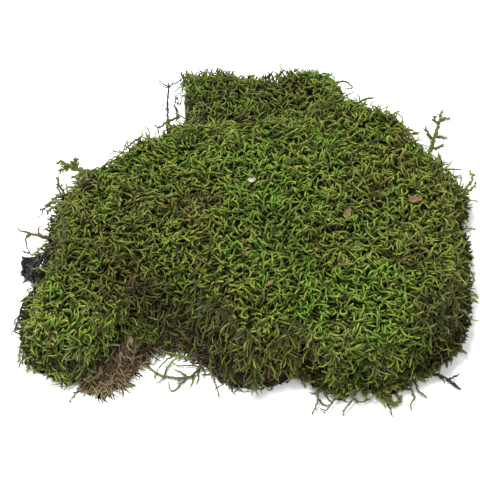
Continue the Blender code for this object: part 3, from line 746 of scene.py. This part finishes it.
# Larger shoots that stand out from the edge: hue, radius, leaves, points
BARE_STRANDS = 2          # the first of them have no side shoots
EDGE_SHOOTS = [
    # beside the dark stalk at the left of the back lobe, and the tuft at its foot
    (0.15, 0.40, 8, [(-36, 129, 15), (-38, 123, 16), (-43, 117, 18), (-47, 114, 19), (-52, 117, 22)]),
    (0.15, 0.34, 5, [(-36, 119, 17), (-39, 115, 17), (-42, 111, 17)]),
    (0.30, 0.60, 26, [(-38, 94, 15), (-45, 89, 16), (-49, 85, 16), (-53, 85, 17)]),
    (0.30, 0.55, 22, [(-42, 83, 14), (-45, 87, 15), (-42, 91, 16)]),
    (0.35, 0.60, 20, [(-43, 76, 13), (-46, 79, 13), (-47, 85, 13)]),
    (0.20, 0.45, 10, [(-55, 70, 15), (-56, 74, 18), (-56, 78, 20)]),
    (0.10, 0.40, 10, [(-56, 72, 15), (-58, 77, 16), (-62, 77, 16)]),
    (0.05, 0.45, 16, [(-61, 71, 15), (-62, 77, 14), (-66, 73, 14), (-72, 66, 13), (-78, 64, 12)]),
    (0.45, 0.40, 12, [(-63, 67, 14), (-66, 69, 14), (-68, 75, 14)]),
    (0.30, 0.35, 10, [(-71, 56, 13), (-74, 58, 13), (-77, 54, 13), (-78, 51, 13)]),
    # the left edge, from the back to the front
    (0.30, 0.50, 16, [(-80, 46, 14), (-83, 52, 15), (-88, 52, 15), (-91, 49, 16)]),
    (0.25, 0.45, 14, [(-102, 34, 14), (-105, 38, 16), (-105, 43, 18)]),
    (0.20, 0.70, 30, [(-98, 31, 14), (-103, 38, 15), (-105, 42, 17), (-105, 45, 19)]),
    (0.15, 0.75, 34, [(-101, 36, 12), (-106, 35, 12), (-109, 31, 11), (-112, 28, 11), (-115, 26, 11)]),
    (0.40, 0.80, 34, [(-98, 28, 13), (-104, 31, 13), (-109, 31, 12), (-112, 29, 11)]),
    (0.15, 0.70, 26, [(-101, 26, 13), (-106, 28, 12), (-110, 26, 11), (-110, 23, 11)]),
    (0.08, 0.25, 4, [(-113, 27, 11), (-114, 23, 10), (-118, 22, 10)]),
    (0.25, 0.70, 20, [(-98, 24, 14), (-103, 21, 14), (-106, 17, 14)]),
    (0.20, 0.35, 8, [(-104, 15, 11), (-106, 19, 11), (-109, 20, 11), (-110, 18, 11)]),
    (0.45, 0.60, 22, [(-104, 0, 12), (-110, 1, 11), (-114, -2, 10), (-115, -5, 10)]),
    (0.35, 0.55, 20, [(-105, -5, 11), (-110, -4, 11), (-114, -5, 11), (-117, -6, 12)]),
    (0.06, 0.40, 8, [(-118, -4, 11), (-121, -3, 11), (-122.5, -2, 12)]),
    (0.40, 0.50, 20, [(-106, -14, 9), (-111, -13, 9), (-114, -15, 8)]),
    (0.10, 0.22, 2, [(-111, -24, 8), (-116, -25, 7), (-118, -27, 7), (-119, -30, 6)]),
    (0.55, 0.50, 26, [(-113, -54, 4), (-118, -60, 2), (-119, -65, 2), (-119, -70, 1)]),
    (0.60, 0.50, 24, [(-108, -62, 4), (-113, -68, 2), (-114, -76, 1)]),
    (0.35, 0.45, 18, [(-110, -60, 3), (-116, -67, 2), (-119, -73, 1)]),
    (0.40, 0.45, 18, [(-103, -66, 3), (-107, -71, 2), (-110, -76, 1)]),
    (0.15, 0.40, 16, [(-100, -68, 3), (-103, -73, 2), (-102, -78, 1)]),
    (0.50, 0.55, 24, [(-86, -77, 3), (-93, -80, 2), (-97, -80, 1), (-101, -81, 1)]),
    (0.35, 0.40, 14, [(-86, -80, 2), (-91, -84, 2), (-95, -84, 1)]),
    (0.15, 0.35, 12, [(-84, -82, 2), (-87, -87, 1), (-91, -94, 1)]),
    (0.10, 0.35, 10, [(-81, -77, 2), (-83, -82, 2), (-85, -86, 1)]),
    # the front edge, from the bay to the right corner
    (0.45, 0.40, 24, [(-18, -70, 8), (-17, -79, 6), (-15, -83, 3), (-13, -91, 1)]),
    (0.15, 0.40, 18, [(-13, -77, 3), (-9, -82, 3), (-6, -88, 2), (-3, -86, 2), (-2, -81, 1)]),
    (0.15, 0.40, 16, [(-2, -79, 3), (2, -85, 2), (5, -84, 2), (7, -79, 1)]),
    (0.20, 0.35, 14, [(3, -79, 3), (6, -84, 2), (10, -81, 1)]),
    (0.15, 0.35, 12, [(17, -77, 3), (16, -82, 2), (14, -86, 1)]),
    (0.25, 0.35, 12, [(23, -75, 3), (26, -79, 2), (27, -76, 1)]),
    (0.15, 0.50, 34, [(44, -75, 7), (42, -84, 5), (38, -89, 4), (38, -93, 3), (35, -101, 1)]),
    (0.10, 0.30, 10, [(38, -92, 2), (41, -95, 1), (45, -95, 1)]),
    (0.20, 0.45, 30, [(52, -80, 6), (50, -89, 4), (46, -94, 3), (42, -99, 2), (39, -97, 1)]),
    (0.15, 0.35, 18, [(43, -82, 4), (42, -88, 2), (45, -94, 1)]),
    (0.20, 0.45, 26, [(59, -84, 5), (56, -93, 3), (52, -98, 2), (50, -102, 1)]),
    (0.10, 0.30, 10, [(56, -91, 2), (60, -94, 2), (66, -91, 1)]),
    (0.25, 0.70, 40, [(68, -84, 4), (74, -94, 3), (78, -95, 2), (81, -92, 2), (78, -89, 2)]),
    (0.25, 0.60, 30, [(72, -84, 4), (72, -90, 3), (76, -93, 2), (79, -96, 1)]),
    (0.15, 0.30, 10, [(73, -92, 2), (75, -97, 1), (76, -102, 1)]),
    (0.20, 0.40, 22, [(85, -80, 5), (87, -89, 4), (88, -92, 3), (86, -95, 2), (86, -99, 1)]),
    (0.20, 0.40, 20, [(88, -80, 4), (90, -87, 3), (92, -89, 2), (95, -91, 1)]),
    (0.25, 0.35, 12, [(73, -80, 4), (77, -83, 2), (76, -87, 1)]),
    # the right edge, from the front to the back
    (0.55, 0.55, 28, [(114, -12, 10), (122, -14, 9), (125, -19, 9), (122, -27, 9)]),
    (0.50, 0.50, 22, [(115, -29, 8), (122, -30, 8), (127, -31, 7)]),
    (0.50, 0.45, 18, [(115, -33, 7), (121, -34, 6), (124, -33, 6)]),
    (0.45, 0.45, 14, [(119, 14, 8), (125, 16, 8), (130, 15, 8)]),
    (0.45, 0.45, 14, [(117, 26, 9), (123, 25, 9), (127, 23, 9)]),
    (0.50, 0.75, 34, [(122, 36, 10), (127, 43, 11), (131, 50, 12), (129, 55, 12)]),
    (0.60, 0.70, 30, [(124, 38, 10), (130, 43, 10), (133, 47, 11)]),
    (0.40, 0.45, 16, [(115, 44, 13), (118, 51, 13), (121, 48, 14), (125, 48, 14)]),
    (0.40, 0.40, 14, [(110, 46, 14), (113, 51, 15), (113, 55, 16)]),
    (0.35, 0.40, 12, [(108, 56, 13), (112, 59, 14), (116, 59, 14)]),
    # the back edge
    (0.35, 0.35, 16, [(83, 93, 16), (90, 95, 17), (93, 91, 17), (93, 85, 18)]),
    (0.45, 0.50, 16, [(54, 122, 15), (61, 123, 15), (65, 118, 15), (60, 117, 15)]),
    (0.40, 0.45, 18, [(12, 121, 15), (20, 126, 17), (23, 129, 18), (21, 133, 20)]),
    (0.40, 0.45, 14, [(26, 123, 15), (28, 126, 18), (28, 130, 20)]),
]


def make_edge():
    """The edge's shoots. At the right of the front edge they are thicker, and more of them are bleached."""
    parts = [rim_shoots(RIM_SHOOTS)]
    for number, (hue, radius, leaves, points) in enumerate(EDGE_SHOOTS):
        front = points[-1][1] < -80 and points[0][0] > 30
        grey = BLEACHED if hue <= (0.2 if front else 0.15) else hue
        thick = (2.0 if front else 1.4) * radius
        parts.append(grow(points, thick, grey, leaves, 0.3, 0.62 + 0.3 * hue, 1.15))
        if number >= BARE_STRANDS:
            parts.append(branchlets(points, 1.8, 4.0 * radius, 0.8 * radius, grey, 0.3, 0.68 + 0.3 * hue))
    add_piece("edge_shoots", "moss_mat", "moss_green", MOSS, *joined(parts))


# ---- loose shoots

# Each loose shoot: its main stem first, then its side shoots, as (radius, points)
SPRAY_LOWER = [
    (0.55, [(-22.5, -71, 2.4), (-25, -75, 1.6), (-29, -78.5, 1.3), (-37, -78.6, 1.2), (-44, -77, 1.2),
            (-49, -73.4, 1.3), (-52, -71, 1.5)]),
    (0.40, [(-23.5, -72.6, 2.0), (-28.5, -71.2, 1.6), (-34, -71.4, 1.4), (-37.5, -69.5, 1.2)]),
    (0.40, [(-26, -76, 1.5), (-26.6, -79.5, 1.3), (-28.5, -85, 1.0)]),
    (0.38, [(-24.6, -74.6, 1.6), (-24.0, -78.5, 1.3), (-25.0, -83, 1.0)]),
    (0.32, [(-22.6, -72, 2.0), (-20.8, -75.5, 1.5), (-21.4, -79, 1.0)]),
    (0.38, [(-29, -78.5, 1.3), (-33, -75.6, 1.3), (-38, -73.0, 1.2)]),
    (0.40, [(-30, -78.5, 1.3), (-32.6, -82, 1.1), (-36.5, -86.4, 1.0), (-38.6, -85.4, 1.0),
            (-39.6, -81, 1.0)]),
    (0.32, [(-33, -78.6, 1.2), (-35.2, -82.6, 1.0)]),
    (0.32, [(-41, -78.0, 1.2), (-44, -80.8, 1.1), (-46.2, -82.4, 1.0)]),
    (0.32, [(-46, -75.6, 1.2), (-47.4, -79.4, 1.0)]),
    (0.30, [(-49, -73.4, 1.3), (-51.6, -69.5, 1.2), (-51.6, -65, 1.2)]),
    (0.42, [(-42, -77.6, 1.2), (-40.6, -73.2, 1.4), (-37.2, -68.4, 1.5), (-33.6, -66.2, 1.7)]),
]
SPRAY_UPPER = [
    (0.52, [(-24.5, -67.5, 2.0), (-28, -66.8, 1.8), (-32, -66, 1.7), (-38, -64, 1.9), (-44, -62.6, 2.2)]),
    (0.36, [(-36, -64.7, 1.8), (-41, -68.5, 2.3), (-44.6, -73.5, 2.8), (-47, -79, 2.6)]),
    (0.34, [(-42, -63.0, 2.0), (-45.6, -66, 1.6), (-47.6, -70.6, 1.3)]),
    (0.32, [(-35, -65, 1.8), (-32.4, -61.4, 2.4), (-30.4, -59.0, 3.0)]),
    (0.32, [(-30, -66.4, 1.8), (-27.4, -64.0, 2.0), (-25.0, -62.6, 2.4)]),
    (0.28, [(-27.5, -66.9, 1.8), (-31.0, -69.0, 1.4)]),
    (0.28, [(-33.5, -65.6, 1.8), (-35.0, -68.4, 1.4)]),
]
SPRIG_RIGHT = [
    (0.75, [(107, 66, 14), (109, 71, 14.5), (110.5, 77, 14.3), (113.5, 85, 14.5), (115.5, 92, 15.0),
            (117, 98, 16.0)]),
    (0.55, [(110, 76, 14.3), (107.5, 80, 15.2), (106.0, 85, 16.0)]),
    (0.50, [(111, 79, 14.3), (115, 79, 14.0), (118.5, 78, 14.0)]),
    (0.50, [(115, 90, 15.0), (118, 92.5, 15.0), (121.5, 92, 15.2)]),
    (0.45, [(115, 88, 15.0), (112, 90, 15.5), (112.5, 94, 16.0)]),
    (0.50, [(109, 70, 14), (112, 70, 14), (116, 73, 14)]),
]
SPRIG_LEFT = [
    (0.80, [(-81, 46, 14), (-86, 50.4, 14.0), (-92, 52, 15.0), (-98, 54, 15.6), (-102, 56, 16.0),
            (-105.5, 58, 16.5)]),
    (0.60, [(-96, 52.5, 15.5), (-97, 57, 16.3), (-96, 60, 16.6)]),
    (0.55, [(-90, 51.5, 15), (-94, 47.5, 15), (-98, 47.0, 15)]),
    (0.50, [(-100, 55, 15.8), (-103, 52.6, 15.6), (-105, 51.5, 15.6)]),
]
DEAD_SPRIG = [
    (0.95, [(-106, 6, 11.0), (-111, 7.5, 10.5), (-115, 8.6, 11.0), (-118.5, 9.0, 11.0), (-121, 8.6, 10.5)]),
    (0.55, [(-117, 8.8, 11.0), (-121, 10.5, 11.0), (-124.5, 11.5, 11.5), (-126.5, 13.5, 12.0)]),
    (0.50, [(-118.5, 8.8, 11.0), (-121, 6.5, 10.0), (-120.6, 3.5, 9.0)]),
    (0.26, [(-121, 6.5, 10.0), (-120.4, 2.5, 8.5), (-118.4, -1.5, 8.0), (-117, -4, 9.0)]),
    (0.45, [(-112, 7.8, 10.6), (-114.6, 12, 11.0), (-112.6, 15, 11.4)]),
]


# Each loose shoot: stems, hue, leaves to a mm, length of a leaf, and length and radius of its branchlets
LOOSE = {
    "spray_lower": (SPRAY_LOWER, 0.38, 3.4, 1.0, None),
    "spray_upper": (SPRAY_UPPER, 0.42, 3.4, 1.0, None),
    "sprig_right": (SPRIG_RIGHT, 0.52, 4.0, 1.3, (2.6, 0.42)),
    "sprig_left": (SPRIG_LEFT, 0.50, 4.0, 1.7, (4.2, 0.62)),
    "dead_sprig": (DEAD_SPRIG, DEAD, 2.6, 1.0, None),
}


def make_sprays():
    for name, (stems, hue, leaves_per_mm, leaf_length, branching) in LOOSE.items():
        parts = []
        for radius, points in stems:
            own = hue + rng.normal(0, 0.10) * (hue > 0.1)
            leaves = int(length_of(points) * leaves_per_mm)
            reach = 0.58 if branching else 0.80
            parts.append(grow(points, 1.5 * radius, own, leaves, 0.35, reach, leaf_length))
            if branching:
                parts.append(branchlets(points, 0.7, *branching, own, 0.25, 0.7))
        slot = "bark_dark" if hue == DEAD else "moss_green"
        add_piece(name + "_shoots", name, slot, MOSS, *joined(parts))


# ---- the thatch

def bare_faces(normal, centre):
    """Thatch that the mat leaves uncovered, on its slopes."""
    keep = np.zeros(len(centre))
    for i, (n, c) in enumerate(zip(normal, centre)):
        if n[2] > 0.02 and c[2] > 0.3:
            keep[i] = mat_tree.ray_cast(Vector(c), Vector(UP))[0] is None
    return keep


def creep(place, normal, length, steps, lift, spread):
    """Paths that run down the thatch's slope and rise and dip a little on the way."""
    n = len(place)
    point, facing = place.copy(), normal.copy()
    paths = [point + facing * rng.uniform(-0.6, 0.2, n)[:, None]]
    side = (rng.normal(0, 1, n) * spread)[:, None]
    for _ in range(steps):
        down = facing * facing[:, 2:3] - UP
        across = np.cross(facing, UP)
        way = unit(down) + unit(across) * (side + rng.normal(0, 0.25, (n, 1)))
        point = point + unit(way) * (length / steps)[:, None]
        for i in range(n):
            point[i], towards, _, _ = thatch_tree.find_nearest(Vector(point[i]))
            if towards.z > 0.02:
                facing[i] = towards
        paths.append(point + facing * (rng.uniform(0.1, 1.0, n) * lift)[:, None])
    return np.stack(paths, axis=1)


# Where greener moss grows at the foot of the bay: x, y, radius
FOOT_GREENS = [(-55, -57, 5), (-45, -57, 5), (-35, -58, 5), (-26, -62, 4), (-86, -84, 6), (-10, -80, 5)]


def lip_faces(normal, centre):
    """The edge of the mat over the bay and over the bare front edge beside it."""
    x, y = centre[:, 0], centre[:, 1]
    return (side_faces(normal, centre) > 0) * (x > -80) * (x < 32) * (y < -40) * 1.0


def lip_shoots(count, steps=7):
    """Shoots that hang from the mat's edge over the bare thatch, browner in the deepest part of the bay,
    where their tips also end darker as painted shade.
    """
    place, normal = surface_points(mat_points, mat_tris, count, lip_faces)
    outward = unit(normal * [1, 1, 0])
    sideways = np.cross(outward, UP)
    bow = rng.normal(0, 0.7, count)[:, None]
    x = place[:, 0]
    length = rng.uniform(6, 14, count) * np.where(x < -58, 0.6, 1.0)
    start = place - outward * 3.0 + UP * rng.uniform(-1.0, 2.5, (count, 1))
    paths = walk(start, length, steps, 0.3, lambda t: (
        outward * (1.1 - 0.7 * t) + sideways * bow * (0.3 + t) - UP * (0.1 + 1.3 * t)))
    bay_brown_and_shade = np.exp(-((x + 38) / 22) ** 2)
    hue = np.clip(rng.normal(0.52, 0.2, count) - 0.30 * bay_brown_and_shade - 0.26 * (x > -16), DEAD, 1)
    size = rng.uniform(0.36, 0.6, count)
    # painted shade: in the deepest part of the bay the shoots end at a darker point of the palette
    reach = rng.uniform(0.6, 0.95, count) - 0.33 * bay_brown_and_shade
    return shoots(paths, size, hue, 4, 11, reach=reach, foot=0.05)


def fringe(count, steps=5):
    """Dead stems that stick out of the foot of the thatch and lie on the ground."""
    place, normal = surface_points(thatch_points, thatch_tris, 20 * count, bare_faces)
    wall = place[:, 0] < -50
    # all round the foot of the left lobe's wall, some in the bay and few along the front edge
    share = np.where(wall & (place[:, 1] < -79), 1.0, np.where(place[:, 0] < -12, 0.3, 0.04))
    low = np.flatnonzero((place[:, 2] < 5.0) & (rng.random(len(place)) < share))[:count]
    place, normal, wall = place[low], normal[low], wall[low]
    n = len(low)
    outward = unit(normal * [1, 1, 0])
    sideways = np.cross(outward, UP)
    bow = rng.normal(0, 0.9, n)[:, None]
    paths = walk(place - outward + 0.4 * UP, rng.uniform(5, 12, n), steps, 0.25, lambda t: (
        outward + sideways * bow * (0.3 + 0.8 * t) - 0.35 * UP * (1 - t)))
    tone = np.clip(rng.normal(0.18, 0.2, n) + 0.4 * wall, 0, 0.9)
    return shoots(paths, rng.uniform(0.26, 0.5, n), tone, 4, reach=0.9, foot=0.3)


def make_thatch():
    add_piece("thatch_ground", "thatch", "thatch_brown", HUMUS, thatch_points, [thatch_tris])

    # most stems lie matted on the thatch, and some are longer, paler and loose
    place, normal = surface_points(thatch_points, thatch_tris, FIBRES, bare_faces)
    wall = ramp(-place[:, 0], 52, 64)
    loose = rng.random(FIBRES) < 0.22
    paths = creep(place, normal, rng.uniform(5, 14, FIBRES) * np.where(loose, 1.7, 1), 5,
                  np.where(loose, 3.8, 1.4), np.where(loose, 1.3, 0.7))
    mottled = noise(place[:, 0], place[:, 1], 5, 31) - 0.5
    pale = wall * np.where(loose, 0.86, 0.40)
    tone = np.clip(rng.normal(0.05, 0.12, FIBRES) + pale + 0.4 * mottled, 0, 0.97)
    size = rng.uniform(0.22, 0.50, FIBRES) * (1 + 0.45 * wall) * np.where(loose, 1.15, 0.9)
    strands = shoots(paths, size, tone, 3, reach=rng.uniform(0.6, 1.0, FIBRES))
    add_piece("thatch_fibres", "thatch", "thatch_brown", FIBRE, *joined([strands, fringe(FRINGE)]))

    add_piece("lip_shoots", "moss_mat", "moss_green", MOSS, *lip_shoots(LIP_SHOOTS))

    place, normal = surface_points(thatch_points, thatch_tris, 4000, bare_faces)
    x, y = place[:, 0], place[:, 1]
    close = np.max([near(x, y, *patch) for patch in FOOT_GREENS], axis=0)
    picked = np.flatnonzero(close > rng.random(len(place)) * 1.4)[:FOOT_SHOOTS]
    n = len(picked)
    paths = shoot_paths(place[picked], normal[picked], rng.uniform(7, 12, n), np.full(n, -0.2),
                        rise=(10, 60), end=(-30, 30))
    hue, reach = rng.normal(0.52, 0.15, n), rng.uniform(0.40, 0.78, n)
    add_piece("bay_shoots", "thatch", "moss_green", MOSS,
              *shoots(paths, np.full(n, 0.48), hue, 4, 12, (0.8, 0.5), reach, 0.1))


# ---- litter

def leaf_arrays(centre, length, width, turn, tilt, curl, seed):
    """A scrap of dead leaf: a ragged, curled oval with a raised midrib."""
    own = np.random.default_rng(seed)
    t, s = grid_of(15, 9, -1, -1)
    ragged = 1 + 0.22 * (own.random((len(t), 1)) - 0.5) + 0.16 * np.sin(5 * t + seed)
    half = width / 2 * np.sqrt(np.clip(1.03 - np.abs(t) ** 2.2, 0.03, 1)) * ragged
    x, y = t * length / 2 + 0.3 * s ** 2, s * half
    z = curl * (0.5 * t ** 2 + 0.9 * s ** 2 * (half / width)) - 0.25 * np.exp(-(s * 5) ** 2)
    z = z + tilt * s * half + 0.12 * own.standard_normal(t.shape)
    c, n = math.cos(turn), math.sin(turn)
    grid = np.stack([centre[0] + x * c - y * n, centre[1] + x * n + y * c, centre[2] + z], axis=-1)
    return slab(grid, 0.35)


def middle(node):
    """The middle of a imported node, in the plan."""
    low, high = (np.array(v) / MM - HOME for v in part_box(node))
    return (low + high) / 2


# Scraps of dead leaf and the pale fleck: length, width, turn, tilt, curl, and how far they sink in
SCRAPS = {
    "leaf_scrap_1": (8.4, 3.4, 0.25, 0.25, 1.5, 1.6), "leaf_scrap_2": (6.6, 4.0, 1.4, -0.35, 1.4, 2.2),
    "leaf_scrap_3": (6.8, 1.5, 0.1, 0.3, 1.0, 2.0), "leaf_scrap_4": (4.6, 3.2, 2.2, 0.35, 1.2, 1.6),
    "leaf_scrap_5": (4.8, 2.6, 0.7, -0.3, 1.1, 1.9), "pale_fleck": (4.4, 2.4, 0.2, 0.5, 1.4, 0.9),
}


def make_scraps():
    for seed, (node, (length, width, turn, tilt, curl, sunk)) in enumerate(SCRAPS.items()):
        place = middle(node) - [0, 0, sunk]
        verts, faces = leaf_arrays(place, length, width, turn, tilt, curl, seed + 3)
        pale = node == "pale_fleck"
        slot, material = ("pale_fleck", PALE) if pale else ("dead_leaf", DEAD_LEAF)
        add_piece(node + "_detail", node, slot, material, verts, faces)


# From the middle of the flake's solid to the axis of its curve
BARK_SHIFT = np.array([0.6, -2.6, -0.2])


def make_bark():
    """A curled, furrowed flake, open on one side."""
    t, s = grid_of(40, 34, 0, 0)
    i, j = np.indices(t.shape)
    fissure = np.abs(noise(i, j * 1.6, 7, 41) - 0.5) * 2.0
    lumps = noise(i, j, 5, 42) - 0.5 + 0.5 * (noise(i, j, 2.3, 44) - 0.5)
    ragged = 12.5 + 3.0 * np.sin(5.1 * s + 0.7) + 7.0 * (noise(j, i * 0, 3.5, 43) - 0.5)
    bend = np.radians(-100 + 190 * s) + 0.2 * (noise(i, j * 0, 4, 45) - 0.5)
    swell = 4.7 + 0.6 * np.sin(3 * t + 2 * s) - 1.1 * fissure + 2.0 * lumps
    across, deep, length = swell * np.sin(bend), -swell * np.cos(bend), (t - 0.5) * ragged
    # the hollow opens up, forwards and to the left, and the flake slopes down towards the front
    along = unit(np.array([-0.15, -0.85, -0.40]))
    opening = np.array([-0.45, -0.45, 0.75])
    opening = unit(opening - along * (opening @ along))
    grid = (across[..., None] * np.cross(along, opening) + deep[..., None] * opening
            + length[..., None] * along + middle("bark_chip") + BARK_SHIFT)
    add_piece("bark_chip_detail", "bark_chip", "bark_dark", BARK, *slab(grid, 1.1))


# The stick that leans on the flake, the root and the twigs, each as (radius, points) of its stems
DARK_STEMS = {
    "bark_stick": [
        (1.15, [(-100, -11.0, 32.0), (-105, -13.4, 27.0), (-110.5, -16, 18.4), (-116, -17.9, 9.6),
                (-121, -19.4, 3.6)]),
        (0.55, [(-109, -15.4, 20.6), (-112.6, -12.6, 15.0), (-116, -12.4, 10.6)])],
    "root": [
        (0.80, [(-112, -24, 6.0), (-117.2, -28, 4.0), (-119.6, -33.5, 3.4), (-121.4, -41, 2.2),
                (-122.4, -47, 1.6), (-124.8, -51, 1.2)]),
        (0.45, [(-121.2, -40, 2.4), (-123.4, -42.5, 1.6), (-124.0, -45.5, 1.0)]),
        (0.45, [(-119.6, -33, 3.4), (-116.8, -37, 3.0), (-115.0, -39, 3.0)])],
    "twig_back": [
        (0.80, [(-41, 84, 14), (-44.4, 89.5, 15.0), (-44.8, 96, 16.0), (-45, 104, 18.0), (-44.5, 112, 20.0),
                (-45, 115.5, 21.0)]),
        (0.40, [(-44.8, 113.5, 20.5), (-48, 115.5, 20.0), (-51, 119.5, 20.5)]),
        (0.38, [(-44.6, 112, 20.0), (-42.8, 115, 20.3), (-41.2, 119, 21.0)]),
        (0.28, [(-45.4, 98, 16.4), (-47.6, 100.5, 17.0), (-48.6, 103, 17.4)])],
    "twig_front": [
        (1.05, [(97, -76, 3.2), (101.5, -78, 2.6), (105, -79.5, 2.2), (108.5, -82, 1.8), (112.5, -86, 1.2)]),
        (0.70, [(106.5, -80.6, 2.1), (109.5, -78.8, 2.3), (112.5, -77.2, 2.6)]),
        (0.32, [(103.5, -79, 2.3), (104.6, -82.4, 1.6)])],
}


def make_dark_stems():
    for node, stems in DARK_STEMS.items():
        parts = []
        for radius, points in stems:
            verts, faces, uvs = grow(points, radius, 0.1, sides=7, taper=0.6)
            swollen = 0.18 * radius * rng.normal(0, 1, (len(verts), 1)) * [1, 1, 0.6]
            parts.append((verts + swollen, faces, uvs))
        add_piece(node + "_detail", node, "bark_dark", BARK, *joined(parts)[:2])


def make_blade_and_pod():
    """A dry blade that lies on whatever is under it, and a small black capsule."""
    t, w = grid_of(22, 6, 0, -1)
    width = 1.25 - 0.55 * t
    x = -60.4 + 5.2 * t + w * width + 0.5 * np.sin(4 * t)
    y = -62.0 - 10.5 * t + 0.4 * w * width
    z = np.zeros_like(x)
    for tree in (mat_tree, thatch_tree):
        z = np.maximum(z, np.nan_to_num(top_of(tree, x.ravel(), y.ravel())).reshape(x.shape))
    z = np.maximum.accumulate(z[::-1], axis=0)[::-1] + 1.4 + 0.35 * w ** 2
    add_piece("straw_blade_detail", "straw_blade", "straw", STRAW, *slab(np.stack([x, y, z], axis=-1), 0.4))

    t = np.linspace(-1, 1, 13)
    path = np.stack([t * 1.9, 0.25 * t ** 2, 0.15 * t], axis=1) + middle("seed_pod")
    radii = 1.2 * np.sqrt(np.clip(1 - t ** 2, 0.004, 1)) * (1 - 0.3 * np.clip(t, 0, 1) ** 2)
    verts, faces, _ = sweep(path[None], radii[None], np.array([0.1]), 14)
    add_piece("seed_pod_detail", "seed_pod", "pod_black", POD, verts, faces)


# ---- setting

FLOOR_REACH = 6.0         # m from the middle to each side
SKY = 0.70                # strength of the even white light all round
# The lamps: place and aim in m, size in m, power in W
LAMPS = {"key": ((-0.35, 0.25, 1.1), (0, 0, 0), 0.5, 24), "front": ((0.3, -0.9, 0.9), (0, 0, 0.02), 0.8, 6)}
CAMERA_UP = 52            # degrees above the floor
CAMERA_FAR = 0.8          # m from what it looks at
CAMERA_AIM = (-2.2, 2.0, 15.0)   # mm, in the plan
PIXELS = 480              # across the picture
PIXEL = 0.55              # mm across one, at the aim


def placed(name, data, place=(0, 0, 0), forward=None):
    """A new object, turned to face along forward where that is given."""
    made = bpy.data.objects.new(name, data)
    bpy.context.scene.collection.objects.link(made)
    made.location = place
    if forward is not None:
        made.rotation_euler = forward.to_track_quat("-Z", "Y").to_euler()
    return made


def studio():
    data = bpy.data.meshes.new("floor")
    corners = [(FLOOR_REACH * x, FLOOR_REACH * y, 0) for x, y in ((-1, -1), (1, -1), (1, 1), (-1, 1))]
    data.from_pydata(corners, [], [(0, 1, 2, 3)])
    made, _, shader = material_of("floor", 0.9, 0.3)
    shader.inputs["Base Color"].default_value = (0.86, 0.86, 0.86, 1)
    data.materials.append(made)
    placed("floor", data)

    world = bpy.data.worlds.new("studio")
    bpy.context.scene.world = world
    world.use_nodes = True
    world.node_tree.nodes["Background"].inputs[0].default_value = (1.0, 1.0, 1.0, 1)
    world.node_tree.nodes["Background"].inputs[1].default_value = SKY

    for name, (place, aim, size, power) in LAMPS.items():
        lamp = bpy.data.lights.new(name, "AREA")
        lamp.size = size
        lamp.energy = power
        placed(name, lamp, place, Vector(aim) - Vector(place))


def camera():
    """Looks along +Y and down, as one looks at a thing on a table."""
    elevation = math.radians(CAMERA_UP)
    back = Vector((0, -math.cos(elevation), math.sin(elevation)))
    lens = bpy.data.cameras.new("camera")
    lens.sensor_width = 36
    lens.lens = lens.sensor_width * CAMERA_FAR / (PIXELS * PIXEL * MM)
    target = (Vector(CAMERA_AIM) + Vector(HOME)) * MM
    bpy.context.scene.camera = placed("camera", lens, target + back * CAMERA_FAR, -back)


make_mat()
make_inside()
make_edge()
make_sprays()
make_thatch()
make_scraps()
make_bark()
make_dark_stems()
make_blade_and_pod()
studio()
camera()
bpy.context.scene.view_settings.view_transform = "Standard"
